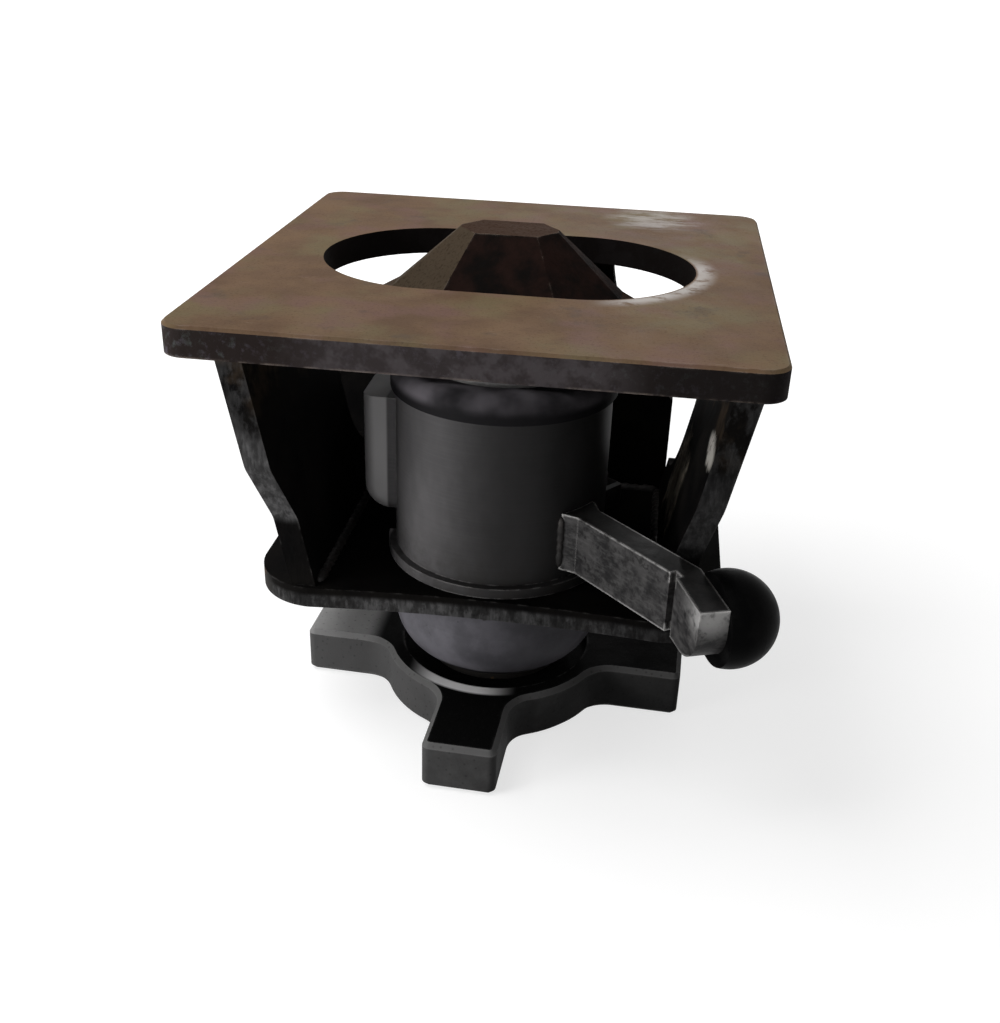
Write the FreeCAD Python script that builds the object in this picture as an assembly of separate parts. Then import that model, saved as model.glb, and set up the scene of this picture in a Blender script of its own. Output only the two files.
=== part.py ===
import FreeCAD, Part
import math
import os

V = FreeCAD.Vector

# A retractable container twistlock with a screw lift.  Millimetres.
# Origin: centre of the plate's opening, on the plate's upper face.
# +X along the opening, +Y towards the rear wall, +Z up, on the lock axis.

# ---- running fits and gaps
RUNNING_FIT = 0.06          # radial play of a shaft in its bore
REST_GAP = 0.3              # faces that rest on each other
KEY_PLAY = 0.08             # each side of the sliding key

# ---- mounting plate
PLATE_LENGTH = 160.0
PLATE_WIDTH = 168.0
PLATE_THICKNESS = 8.5
PLATE_CORNER = 7.0
PLATE_EDGE_BREAK = 0.8
OPENING_LENGTH = 115.0
OPENING_WIDTH = 73.0

# ---- lock head and its shank
HEAD_RISE = 10.0            # flat top above the plate at rest
HEAD_TOP_LENGTH = 30.0
HEAD_TOP_WIDTH = 18.0
HEAD_TOP_FACET = 5.6        # length that each corner facet takes off the flat top
HEAD_WAIST_LENGTH = 71.2    # where the head fills the opening at rest
HEAD_WAIST_FACET = 16.9
HEAD_LENGTH = 103.0
HEAD_RIM_FACET = 11.5
HEAD_WIDTH = 56.0
HEAD_SHOULDER = 10.2        # height of the flatter shoulder below the waist
HEAD_RIM = 8.0              # height of the head's upright rim
FACET_SLOPE = 4.0 / 3.0     # corner facets, width over length in plan
SHANK_RADIUS = 27.5

# ---- turning sleeve
SLEEVE_HEIGHT = 59.2
SLEEVE_RADIUS = 35.5
FOOT_RADIUS = 38.0
FOOT_HEIGHT = 3.5
KEY_PAD_REACH = 45.0        # from the lock axis to the pad's flat face
KEY_PAD_WIDTH = 23.0
KEY_PAD_HEIGHT = 41.0
KEY_PAD_DROP = 4.0          # below the sleeve's top
KEY_PAD_ROUND = 9.0
KEY_PAD_EDGE = 4.0
RING_RADIUS = 37.0
RING_HEIGHT = 8.5
RING_ROUND = 4.5
RING_SPIGOT_WALL = 2.6
RING_SPIGOT_DEPTH = 4.0

# ---- key between sleeve and shank
KEY_WIDTH = 10.0
KEY_LENGTH = 28.0
KEY_TOP_DROP = 7.0          # below the sleeve's top
KEY_SEAT_DEPTH = 3.4        # into the sleeve's wall
KEY_BITE = 4.4              # into the shank
KEYWAY_FLOOR_GAP = 0.5
KEY_SCREW_RADIUS = 2.5
KEY_SCREW_HEAD_RADIUS = 4.4
KEY_SCREW_HEAD_HEIGHT = 4.0
KEY_SCREW_SINK = 5.0
KEY_SOCKET_RADIUS = 2.2
KEY_SOCKET_DEPTH = 2.0
KEY_SCREW_PITCH = 14.0
KEY_SCREW_BITE = 4.6        # thread engaged in the key
SCREW_HOLE_PLAY = 0.25

# ---- lever and knob
LEVER_ANGLE = -45.0         # at rest, seen from above
LEVER_HEIGHT = 20.0
LEVER_TIP_HEIGHT = 19.0
LEVER_THICKNESS = 9.0
LEVER_FOOT_CLEARANCE = 7.2  # above the sleeve's lower end
LEVER_OFFSET = 4.0          # middle plane behind the lock axis
LEVER_REACH = 84.0          # from the lock axis to the bend
LEVER_TIP_LENGTH = 21.0
LEVER_TIP_ROUND = 11.0      # lower corner of the tip
LEVER_BEND = 24.0           # degrees, towards the front
LEVER_ROOT_LENGTH = 5.0     # flared root where the bar meets the sleeve
LEVER_ROOT_FLARE = 2.5
BEND_GROOVE_DEPTH = 1.6
BEND_GROOVE_WIDTH = 3.2
KNOB_RADIUS = 14.5
KNOB_BACK = 9.2             # knob centre behind the tip's mid face
KNOB_ALONG = 10.7           # knob centre along the tip from the bend
KNOB_RISE = 9.8             # knob centre above the lever's lower edge
STUD_RADIUS = 5.0
STUD_BITE = 11.0            # length of stud inside the knob

# ---- cheeks, rear wall, base plate
CHEEK_THICKNESS = 8.0
CHEEK_TOP_X = 80.0          # outer face at the plate's underside
CHEEK_BASE_X = 62.0         # outer face at the base plate
CHEEK_FRONT_UPPER = 51.0
CHEEK_FRONT_LOWER = 40.5
CHEEK_STEP_DROP = 46.0      # below the plate's underside to the step
CHEEK_STEP_ROUND = 6.0
CHEEK_BACK_UPPER = 46.0
CHEEK_BACK_LOWER = 30.0
CHEEK_FOOT_HEIGHT = 14.0    # where the back edge runs out to the rear wall
CHEEK_FOOT_SWEEP = 20.0     # height of the hollow curve above that
WALL_THICKNESS = 7.0
WALL_FRONT_Y = 54.0
WALL_TOP_WIDTH = 60.0
WALL_WIDTH = 112.0
WALL_SHOULDER_DROP = 54.0   # below the plate's underside to the full width
WALL_HOLLOW = 4.5           # how deep the side curves are
BASE_THICKNESS = 7.0
BASE_LENGTH = 152.5
BASE_FRONT_Y = 42.0
BASE_WAIST = 3.0            # how far the front edge bows in at its middle
BASE_CORNER = 20.0
BASE_REAR_CORNER = 6.0
BASE_DROP = 91.0            # between the plate's underside and the base plate

# ---- bearing boss under the base plate
BOSS_TOP_RADIUS = 35.5
BOSS_FOOT_RADIUS = 25.0
BOSS_HEIGHT = 30.0
BOSS_SHOULDER = 10.0        # upright part below the base plate
CUP_PLAY = 1.0              # round the shank
CUP_FLOOR_DROP = 13.0       # below the base plate's underside
BUSH_RADIUS = 16.0
BUSH_FLANGE_RADIUS = 19.5
BUSH_FLANGE = 2.0
COLLAR_HEIGHT = 3.6

# ---- lift screw, nut and star wheel
SCREW_RADIUS = 12.0
SCREW_POINT = 2.0           # chamfer of the screw's end
SCREW_TOP_COVER = 1.5       # screw end above the nut at full lift
NUT_RADIUS = 19.0
NUT_HEIGHT = 22.0
NUT_PIN_RADIUS = 2.5
NUT_PIN_BITE = 3.5
NUT_PIN_INSET = 0.6         # below the shank's surface
BORE_PLAY = 1.0             # blind bore round the screw
BORE_TOP_PLAY = 3.0
LIFT = 57.0
WASHER_RADIUS = 24.0
WASHER_BORE_PLAY = 0.4
WASHER_HEIGHT = 3.0
WHEEL_HEIGHT = 17.0
WHEEL_HUB_RADIUS = 39.0
WHEEL_REACH = 67.0
WHEEL_LOBES = 4
WHEEL_TURN = -2.0           # degrees of the first lobe from +X at rest
LOBE_WIDTH = 24.0
LOBE_FILLET = 11.0
LOBE_CORNER = 2.5
WHEEL_EDGE = 1.6
RECESS_RADIUS = 33.0        # ring-shaped recess in the hub's top
RECESS_DEPTH = 3.0
JOURNAL_RADIUS = 10.0
WHEEL_KEY_WIDTH = 6.0
WHEEL_KEY_SEAT = 3.2        # into the journal
WHEEL_KEY_RISE = 2.6        # into the hub
NUT_POCKET_RADIUS = 16.5
NUT_POCKET_DEPTH = 8.0
STUD_END_RADIUS = 8.0
STUD_END_INSET = 1.0        # above the wheel's underside
PLAIN_WASHER_RADIUS = 15.0
PLAIN_WASHER = 2.0
LOCK_NUT_FLATS = 24.0
LOCK_NUT_HEIGHT = 5.0

# ---- stop pin and sleeve keepers
SWING = 90.0                # lever travel, clockwise from above
STOP_PIN_RADIUS = 3.0
STOP_PIN_STANDS = 5.0       # above the base plate
STOP_PIN_CIRCLE = 36.8
STOP_PIN_ANGLE = 90.0
STOP_MARGIN = 0.5           # between pin and notch end, on the pin circle
NOTCH_DEPTH = 5.2
KEEPER_ANGLES = (52.0, 128.0)
KEEPER_WIDTH = 14.0
KEEPER_REACH = 20.0
KEEPER_HEIGHT = 9.0
KEEPER_EDGE = 1.0
KEEPER_OVERLAP = 1.9        # over the foot band
KEEPER_BOLT_RADIUS = 3.0
KEEPER_BOLT_HEAD_RADIUS = 5.0
KEEPER_BOLT_HEAD = 4.0
KEEPER_BOLT_CIRCLE = 48.0

# ---- levels, from the plate's upper face down
PLATE_BOTTOM = -PLATE_THICKNESS
BASE_TOP = PLATE_BOTTOM - BASE_DROP
BASE_BOTTOM = BASE_TOP - BASE_THICKNESS
SLEEVE_BOTTOM = BASE_TOP + REST_GAP
SLEEVE_TOP = SLEEVE_BOTTOM + SLEEVE_HEIGHT
RING_TOP = SLEEVE_TOP + RING_HEIGHT
CUP_FLOOR = BASE_BOTTOM - CUP_FLOOR_DROP
SHANK_BOTTOM = CUP_FLOOR + REST_GAP
BOSS_BOTTOM = BASE_BOTTOM - BOSS_HEIGHT
WAIST_Z = PLATE_BOTTOM - REST_GAP
SHOULDER_Z = WAIST_Z - HEAD_SHOULDER
HEAD_BOTTOM = SHOULDER_Z - HEAD_RIM
COLLAR_TOP = CUP_FLOOR - REST_GAP
COLLAR_BOTTOM = COLLAR_TOP - COLLAR_HEIGHT
FLANGE_TOP = COLLAR_BOTTOM - REST_GAP
FLANGE_BOTTOM = FLANGE_TOP - BUSH_FLANGE
WASHER_TOP = BOSS_BOTTOM - REST_GAP
WASHER_BOTTOM = WASHER_TOP - WASHER_HEIGHT
WHEEL_TOP = WASHER_BOTTOM - REST_GAP + RECESS_DEPTH
WHEEL_BOTTOM = WHEEL_TOP - WHEEL_HEIGHT
POCKET_ROOF = WHEEL_BOTTOM + NUT_POCKET_DEPTH
SCREW_TOP = SHANK_BOTTOM + LIFT + NUT_HEIGHT + SCREW_TOP_COVER
KEY_TOP = SLEEVE_TOP - KEY_TOP_DROP
LEVER_BOTTOM = SLEEVE_BOTTOM + LEVER_FOOT_CLEARANCE
LEVER_TOP = LEVER_BOTTOM + LEVER_HEIGHT
SLEEVE_BORE = SHANK_RADIUS + RUNNING_FIT


def export(node, shape):
    """Write one named node."""
    if isinstance(shape, list):
        shape = Part.makeCompound(shape)
    shape.exportStep(os.path.join("parts", node + ".step"))


def cylinder(radius, low, high, x=0.0, y=0.0):
    """Upright cylinder between two levels."""
    return Part.makeCylinder(radius, high - low, V(x, y, low))


def box(x_low, x_high, y_low, y_high, low, high):
    """Block between two corners."""
    return Part.makeBox(x_high - x_low, y_high - y_low, high - low, V(x_low, y_low, low))


def rod(radius, start, end):
    """Cylinder from one point to another."""
    return Part.makeCylinder(radius, (end - start).Length, start, end - start)


def turned(points):
    """Solid of revolution round the lock axis from (radius, level) points."""
    outline = Part.makePolygon([V(r, 0, z) for r, z in points + points[:1]])
    return Part.Face(outline).revolve(V(0, 0, 0), V(0, 0, 1), 360)


def spin(shape, degrees):
    """Copy turned about the lock axis."""
    copy = shape.copy()
    copy.rotate(V(0, 0, 0), V(0, 0, 1), degrees)
    return copy


def edges_where(shape, test):
    """Edges whose two end points both pass the test."""
    return [edge for edge in shape.Edges if all(test(v.Point) for v in edge.Vertexes)]


def upright_edges(shape, test=lambda p: True):
    """Straight upright edges, with an optional test on their ends."""
    found = []
    for edge in edges_where(shape, test):
        if len(edge.Vertexes) == 2:
            a, b = (v.Point for v in edge.Vertexes)
            if math.hypot(a.x - b.x, a.y - b.y) < 1e-6 and abs(a.z - b.z) > 1e-6:
                found.append(edge)
    return found


def flat_edges(shape, level):
    """Edges that lie in one level."""
    return edges_where(shape, lambda p: abs(p.z - level) < 1e-6)


def slot(length, width, low, high):
    """Upright block with semicircular ends along X."""
    half = (length - width) / 2.0
    ends = [cylinder(width / 2.0, low, high, x) for x in (-half, half)]
    return box(-half, half, -width / 2.0, width / 2.0, low, high).fuse(ends).removeSplitter()


# ---------------------------------------------------------------- housing

def top_plate():
    half_x, half_y = PLATE_LENGTH / 2.0, PLATE_WIDTH / 2.0
    plate = box(-half_x, half_x, -half_y, half_y, PLATE_BOTTOM, 0)
    plate = plate.makeFillet(PLATE_CORNER, upright_edges(plate))
    plate = plate.makeChamfer(PLATE_EDGE_BREAK, flat_edges(plate, 0))
    return plate.cut(slot(OPENING_LENGTH, OPENING_WIDTH, PLATE_BOTTOM - 1, 1))


def cheek(side):
    """Leaning side wall with a stepped front edge and a sloping back edge."""
    step = PLATE_BOTTOM - CHEEK_STEP_DROP
    drop = CHEEK_FRONT_UPPER - CHEEK_FRONT_LOWER
    foot = BASE_TOP + CHEEK_FOOT_HEIGHT
    sweep_top = V(0, CHEEK_BACK_LOWER, foot + CHEEK_FOOT_SWEEP)
    sweep_end = V(0, WALL_FRONT_Y, foot)
    run = WALL_FRONT_Y - CHEEK_BACK_LOWER
    hollow = 1.0 - 1.0 / math.sqrt(2.0)
    sweep_middle = V(0, CHEEK_BACK_LOWER + run * hollow, foot + CHEEK_FOOT_SWEEP * hollow)
    straight = Part.makePolygon([
        sweep_end,
        V(0, WALL_FRONT_Y, BASE_TOP),
        V(0, -CHEEK_FRONT_LOWER, BASE_TOP),
        V(0, -CHEEK_FRONT_LOWER, step - 2 * drop),
        V(0, -CHEEK_FRONT_UPPER, step),
        V(0, -CHEEK_FRONT_UPPER, PLATE_BOTTOM),
        V(0, CHEEK_BACK_UPPER, PLATE_BOTTOM),
        V(0, CHEEK_BACK_LOWER, step),
        sweep_top])
    sweep = Part.Arc(sweep_top, sweep_middle, sweep_end).toShape()
    reach = CHEEK_TOP_X + CHEEK_THICKNESS
    profile = Part.Face(Part.Wire(straight.Edges + [sweep]))
    blank = profile.extrude(V(reach, 0, 0))
    step_edges = edges_where(blank, lambda p: p.y < 0 and step - 3 * drop < p.z < step + 1)
    blank = blank.makeFillet(CHEEK_STEP_ROUND, [
        e for e in step_edges if abs(e.Vertexes[0].Z - e.Vertexes[1].Z) < 1e-6])
    lean = Part.makePolygon([
        V(CHEEK_TOP_X, 0, PLATE_BOTTOM), V(CHEEK_TOP_X - CHEEK_THICKNESS, 0, PLATE_BOTTOM),
        V(CHEEK_BASE_X - CHEEK_THICKNESS, 0, BASE_TOP), V(CHEEK_BASE_X, 0, BASE_TOP),
        V(CHEEK_TOP_X, 0, PLATE_BOTTOM)])
    depth = max(CHEEK_FRONT_UPPER, CHEEK_BACK_UPPER, WALL_FRONT_Y) + 1
    slab = Part.Face(lean).extrude(V(0, 2 * depth, 0))
    slab.translate(V(0, -depth, 0))
    wall = blank.common(slab)
    return wall if side > 0 else wall.mirror(V(0, 0, 0), V(1, 0, 0))


def rear_wall():
    """Upright wall that widens downwards in two hollow curves."""
    shoulder = PLATE_BOTTOM - WALL_SHOULDER_DROP
    half_top, half = WALL_TOP_WIDTH / 2.0, WALL_WIDTH / 2.0
    edges = [Part.makePolygon([V(-half, 0, shoulder), V(-half, 0, BASE_TOP),
                               V(half, 0, BASE_TOP), V(half, 0, shoulder)])]
    for side in (1, -1):
        start = V(side * half, 0, shoulder)
        end = V(side * half_top, 0, PLATE_BOTTOM)
        middle = (start + end) * 0.5 + V(-side * WALL_HOLLOW, 0, -WALL_HOLLOW)
        edges.append(Part.Wire(Part.Arc(start, middle, end).toShape()))
    edges.append(Part.makePolygon([V(-half_top, 0, PLATE_BOTTOM), V(half_top, 0, PLATE_BOTTOM)]))
    joined = Part.__sortEdges__([e for wire in edges for e in wire.Edges])
    wall = Part.Face(Part.Wire(joined)).extrude(V(0, WALL_THICKNESS, 0))
    wall.translate(V(0, WALL_FRONT_Y, 0))
    return wall


def base_plate():
    """Plate under the cheeks, with a bowed front edge and large front corners."""
    half = BASE_LENGTH / 2.0
    rear = WALL_FRONT_Y + WALL_THICKNESS
    front = -BASE_FRONT_Y
    plate = box(-half, half, front, rear, BASE_BOTTOM, BASE_TOP)
    front_corners = upright_edges(plate, lambda p: p.y < 0)
    plate = plate.makeFillet(BASE_CORNER, front_corners)
    plate = plate.makeFillet(BASE_REAR_CORNER, upright_edges(plate, lambda p: p.y > rear - 1))
    chord = half - BASE_CORNER
    bow = Part.Wire([
        Part.Arc(V(-chord, front, 0), V(0, front + BASE_WAIST, 0), V(chord, front, 0)).toShape(),
        Part.makeLine(V(chord, front, 0), V(-chord, front, 0))])
    hollow = Part.Face(bow).extrude(V(0, 0, BASE_THICKNESS + 2))
    hollow.translate(V(0, 0, BASE_BOTTOM - 1))
    plate = plate.cut(hollow)
    plate = plate.cut(cylinder(SHANK_RADIUS + CUP_PLAY, BASE_BOTTOM - 1, BASE_TOP + 1))
    plate = plate.cut(stop_pin())
    for bolt in keeper_bolt_shanks(BASE_BOTTOM - 1):
        plate = plate.cut(bolt)
    return plate


def bearing_boss():
    """Bowl-shaped boss that carries the bush and clears the shank's lower end."""
    shoulder = BASE_BOTTOM - BOSS_SHOULDER
    drop = shoulder - BOSS_BOTTOM
    inset = BOSS_TOP_RADIUS - BOSS_FOOT_RADIUS
    bulge = 1.0 / math.sqrt(2.0)
    curve = Part.Arc(
        V(BOSS_TOP_RADIUS, 0, shoulder),
        V(BOSS_FOOT_RADIUS + inset * bulge, 0, shoulder - drop * bulge),
        V(BOSS_FOOT_RADIUS, 0, BOSS_BOTTOM)).toShape()
    straight = Part.makePolygon([
        V(BOSS_FOOT_RADIUS, 0, BOSS_BOTTOM), V(0, 0, BOSS_BOTTOM), V(0, 0, BASE_BOTTOM),
        V(BOSS_TOP_RADIUS, 0, BASE_BOTTOM), V(BOSS_TOP_RADIUS, 0, shoulder)])
    outline = Part.Wire(Part.__sortEdges__([curve] + straight.Edges))
    boss = Part.Face(outline).revolve(V(0, 0, 0), V(0, 0, 1), 360)
    cup = cylinder(SHANK_RADIUS + CUP_PLAY, CUP_FLOOR, BASE_BOTTOM + 1)
    pocket = cylinder(BUSH_FLANGE_RADIUS, FLANGE_BOTTOM, CUP_FLOOR + 1)
    bore = cylinder(BUSH_RADIUS, BOSS_BOTTOM - 1, FLANGE_BOTTOM + 1)
    return boss.cut(cup.fuse([pocket, bore]))


def flanged_bush():
    """Bronze bush; its flange carries the screw's collar."""
    bore = SCREW_RADIUS + RUNNING_FIT
    return turned([(bore, BOSS_BOTTOM), (BUSH_RADIUS, BOSS_BOTTOM),
                   (BUSH_RADIUS, FLANGE_BOTTOM), (BUSH_FLANGE_RADIUS, FLANGE_BOTTOM),
                   (BUSH_FLANGE_RADIUS, FLANGE_TOP), (bore, FLANGE_TOP)])


def on_circle(radius, degrees, level=0.0):
    angle = math.radians(degrees)
    return V(radius * math.cos(angle), radius * math.sin(angle), level)


def stop_pin():
    at = on_circle(STOP_PIN_CIRCLE, STOP_PIN_ANGLE)
    return cylinder(STOP_PIN_RADIUS, BASE_BOTTOM, BASE_TOP + STOP_PIN_STANDS, at.x, at.y)


def keeper():
    """Clip along +X: a block whose lip reaches over the foot band."""
    band_top = SLEEVE_BOTTOM + FOOT_HEIGHT + REST_GAP
    inner = FOOT_RADIUS - KEEPER_OVERLAP
    clip = box(inner, inner + KEEPER_REACH, -KEEPER_WIDTH / 2.0, KEEPER_WIDTH / 2.0,
               BASE_TOP, BASE_TOP + KEEPER_HEIGHT)
    clip = clip.cut(cylinder(FOOT_RADIUS + REST_GAP, BASE_TOP - 1, band_top))
    clip = clip.cut(cylinder(inner, BASE_TOP - 1, BASE_TOP + KEEPER_HEIGHT + 1))
    clip = clip.makeChamfer(KEEPER_EDGE, flat_edges(clip, BASE_TOP + KEEPER_HEIGHT))
    bore = cylinder(KEEPER_BOLT_RADIUS + SCREW_HOLE_PLAY, BASE_TOP - 1,
                    BASE_TOP + KEEPER_HEIGHT + 1, KEEPER_BOLT_CIRCLE)
    return clip.cut(bore)


def keeper_bolt_shanks(low):
    """The keeper bolts' shanks, from a level up to the keepers' top."""
    places = [on_circle(KEEPER_BOLT_CIRCLE, a) for a in KEEPER_ANGLES]
    return [cylinder(KEEPER_BOLT_RADIUS, low, BASE_TOP + KEEPER_HEIGHT, p.x, p.y) for p in places]


def keeper_bolts():
    top = BASE_TOP + KEEPER_HEIGHT
    bolts = []
    for shank, angle in zip(keeper_bolt_shanks(BASE_BOTTOM), KEEPER_ANGLES):
        at = on_circle(KEEPER_BOLT_CIRCLE, angle)
        head = hexagon(2 * KEEPER_BOLT_HEAD_RADIUS, top, top + KEEPER_BOLT_HEAD)
        head.translate(at)
        bolts.append(shank.fuse(head))
    return bolts


def hexagon(flats, low, high):
    """Upright hexagonal prism across flats, with its corners turned off."""
    reach = flats / math.sqrt(3.0)
    ring = [on_circle(reach, 60 * k, low) for k in range(6)]
    prism = Part.Face(Part.makePolygon(ring + ring[:1])).extrude(V(0, 0, high - low))
    return prism.common(cylinder(0.5 * (reach + flats / 2.0), low, high))


# ---------------------------------------------------------------- sleeve

def sleeve():
    """Turning sleeve with a foot band, a stop notch and a thick pad for the key."""
    body = cylinder(SLEEVE_RADIUS, SLEEVE_BOTTOM, SLEEVE_TOP)
    foot = cylinder(FOOT_RADIUS, SLEEVE_BOTTOM, SLEEVE_BOTTOM + FOOT_HEIGHT)
    pad_high = SLEEVE_TOP - KEY_PAD_DROP
    pad_low = pad_high - KEY_PAD_HEIGHT
    pad = box(-KEY_PAD_REACH, 0, -KEY_PAD_WIDTH / 2.0, KEY_PAD_WIDTH / 2.0, pad_low, pad_high)
    outer_low = edges_where(pad, lambda p: p.x < -1 and abs(p.z - pad_low) < 1e-6)
    pad = pad.makeFillet(KEY_PAD_ROUND, outer_low)
    sides = upright_edges(pad, lambda p: p.x < -1)
    pad = pad.makeFillet(KEY_PAD_EDGE, sides)
    body = body.fuse([foot, pad]).removeSplitter()
    body = body.cut(cylinder(SLEEVE_BORE, SLEEVE_BOTTOM - 1, SLEEVE_TOP + 1))
    spigot = SLEEVE_BORE + RING_SPIGOT_WALL
    body = body.cut(cylinder(spigot, SLEEVE_TOP - RING_SPIGOT_DEPTH, SLEEVE_TOP + 1))
    body = body.cut(feather_key_block())
    for level in key_screw_levels():
        hole = rod(KEY_SCREW_RADIUS + SCREW_HOLE_PLAY, V(-KEY_PAD_REACH - 1, 0, level),
                   V(-SLEEVE_BORE, 0, level))
        sink = rod(KEY_SCREW_HEAD_RADIUS + SCREW_HOLE_PLAY, V(-KEY_PAD_REACH - 1, 0, level),
                   V(-KEY_PAD_REACH + KEY_SCREW_SINK, 0, level))
        body = body.cut(hole.fuse(sink))
    return body.cut(stop_notch())


def stop_notch():
    """Gap in the foot band in which the stop pin travels as the sleeve swings."""
    spare = math.degrees((STOP_PIN_RADIUS + STOP_MARGIN) / STOP_PIN_CIRCLE)
    inner = STOP_PIN_CIRCLE - STOP_PIN_RADIUS - REST_GAP
    low, high = SLEEVE_BOTTOM - 1, SLEEVE_BOTTOM + NOTCH_DEPTH + REST_GAP
    block = Part.makeCylinder(FOOT_RADIUS + 1, high - low, V(0, 0, low), V(0, 0, 1),
                              SWING + 2 * spare)
    block = spin(block, STOP_PIN_ANGLE - spare)
    return block.cut(cylinder(inner, low - 1, high + 1))


def key_screw_levels():
    middle = KEY_TOP - KEY_LENGTH / 2.0
    return (middle + KEY_SCREW_PITCH / 2.0, middle - KEY_SCREW_PITCH / 2.0)


def feather_key_block():
    seat = SLEEVE_BORE + KEY_SEAT_DEPTH
    bite = SHANK_RADIUS - KEY_BITE
    return box(-seat, -bite, -KEY_WIDTH / 2.0, KEY_WIDTH / 2.0, KEY_TOP - KEY_LENGTH, KEY_TOP)


def feather_key():
    """Key held in the sleeve, which slides in the shank's keyway."""
    key = feather_key_block()
    for level in key_screw_levels():
        start = -(SLEEVE_BORE + KEY_SEAT_DEPTH) - 1
        key = key.cut(rod(KEY_SCREW_RADIUS, V(start, 0, level),
                          V(start + 1 + KEY_SCREW_BITE, 0, level)))
    return key


def key_screws():
    screws = []
    for level in key_screw_levels():
        floor = -KEY_PAD_REACH + KEY_SCREW_SINK
        end = -(SLEEVE_BORE + KEY_SEAT_DEPTH) + KEY_SCREW_BITE
        shank = rod(KEY_SCREW_RADIUS, V(floor, 0, level), V(end, 0, level))
        head = rod(KEY_SCREW_HEAD_RADIUS, V(floor - KEY_SCREW_HEAD_HEIGHT, 0, level),
                   V(floor, 0, level))
        top = floor - KEY_SCREW_HEAD_HEIGHT
        socket = rod(KEY_SOCKET_RADIUS, V(top - 1, 0, level),
                     V(top + KEY_SOCKET_DEPTH, 0, level))
        screws.append(shank.fuse(head).cut(socket))
    return screws


def wiper_ring():
    """Rounded rubber ring that sits in the sleeve's mouth and wipes the shank."""
    inner, outer = SHANK_RADIUS + RUNNING_FIT, RING_RADIUS
    spigot = SLEEVE_BORE + RING_SPIGOT_WALL
    low = SLEEVE_TOP - RING_SPIGOT_DEPTH
    ring = turned([(inner, low), (spigot, low), (spigot, SLEEVE_TOP), (outer, SLEEVE_TOP),
                   (outer, RING_TOP), (inner, RING_TOP)])
    upper = [e for e in ring.Edges if abs(e.BoundBox.ZMin - RING_TOP) < 1e-3
             and abs(e.BoundBox.ZMax - RING_TOP) < 1e-3 and e.BoundBox.XMax > spigot]
    return ring.makeFillet(RING_ROUND, upper)


def tip_frame():
    """Bend point, way along the tip and way to its back, before the rest angle."""
    turn = math.radians(-LEVER_BEND)
    way = V(math.cos(turn), math.sin(turn), 0)
    return V(LEVER_REACH, LEVER_OFFSET, 0), way, V(-way.y, way.x, 0)


def stud_seat():
    """Point in the tip's middle plane where the stud crosses it."""
    bend, way, back = tip_frame()
    return bend + way * KNOB_ALONG + V(0, 0, LEVER_BOTTOM + KNOB_RISE)


def lever_blank():
    """Bent flat bar on edge, tapered along its top, with a rounded tip."""
    bend, way, back = tip_frame()
    half = LEVER_THICKNESS / 2.0
    tip = bend + way * LEVER_TIP_LENGTH
    shift = half * math.tan(math.radians(LEVER_BEND) / 2.0)
    near, far = bend.y - half, bend.y + half
    plan = [V(0, near, 0), V(bend.x - shift, near, 0), tip - back * half,
            tip + back * half, V(bend.x + shift, far, 0), V(0, far, 0)]
    bar = Part.Face(Part.makePolygon(plan + plan[:1])).extrude(V(0, 0, LEVER_HEIGHT))
    bar.translate(V(0, 0, LEVER_BOTTOM))
    fall = LEVER_HEIGHT - LEVER_TIP_HEIGHT
    side = Part.makePolygon([
        V(bend.x, 0, LEVER_TOP), V(tip.x + half, 0, LEVER_TOP - fall),
        V(tip.x + half, 0, LEVER_TOP + half), V(bend.x, 0, LEVER_TOP)])
    wedge = Part.Face(side).extrude(V(0, 2 * LEVER_REACH, 0))
    wedge.translate(V(0, -LEVER_REACH, 0))
    bar = bar.cut(wedge)
    end_edges = edges_where(bar, lambda p: abs((V(p.x, p.y, 0) - tip).dot(way)) < 1e-4)
    low_edge = [e for e in end_edges if abs(e.BoundBox.ZMax - LEVER_BOTTOM) < 1e-4]
    return bar.makeFillet(LEVER_TIP_ROUND, low_edge)


def lever_bar():
    """Lever with a flared root against the sleeve and a groove at its bend."""
    bend = tip_frame()[0]
    half = LEVER_THICKNESS / 2.0
    groove = box(-BEND_GROOVE_WIDTH / 2.0, BEND_GROOVE_WIDTH / 2.0, -half - LEVER_THICKNESS,
                 BEND_GROOVE_DEPTH - half, LEVER_BOTTOM - 1, LEVER_TOP + 1)
    groove.rotate(V(0, 0, 0), V(0, 0, 1), -LEVER_BEND / 2.0)
    groove.translate(bend)
    bar = lever_blank().cut(groove)
    flare = V(LEVER_ROOT_LENGTH, 0, 0)
    near, far = bend.y - half, bend.y + half
    root_plan = [V(0, near - LEVER_ROOT_FLARE, 0), V(SLEEVE_RADIUS, near - LEVER_ROOT_FLARE, 0),
                 V(SLEEVE_RADIUS, near, 0) + flare, V(SLEEVE_RADIUS, far, 0) + flare,
                 V(SLEEVE_RADIUS, far + LEVER_ROOT_FLARE, 0), V(0, far + LEVER_ROOT_FLARE, 0)]
    root = Part.Face(Part.makePolygon(root_plan + root_plan[:1]))
    root = root.extrude(V(0, 0, LEVER_HEIGHT))
    root.translate(V(0, 0, LEVER_BOTTOM))
    bar = bar.fuse(root).removeSplitter()
    bar = bar.cut(cylinder(SLEEVE_RADIUS, LEVER_BOTTOM - 1, LEVER_TOP + 1))
    return spin(bar.cut(knob_stud_rod()), LEVER_ANGLE)


def knob_stud_rod():
    """Stud from the bar's front face into the knob."""
    back = tip_frame()[2]
    front = stud_seat() - back * (LEVER_THICKNESS / 2.0)
    return rod(STUD_RADIUS, front, front + back * (LEVER_THICKNESS + STUD_BITE))


def knob_stud():
    return spin(knob_stud_rod(), LEVER_ANGLE)


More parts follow.
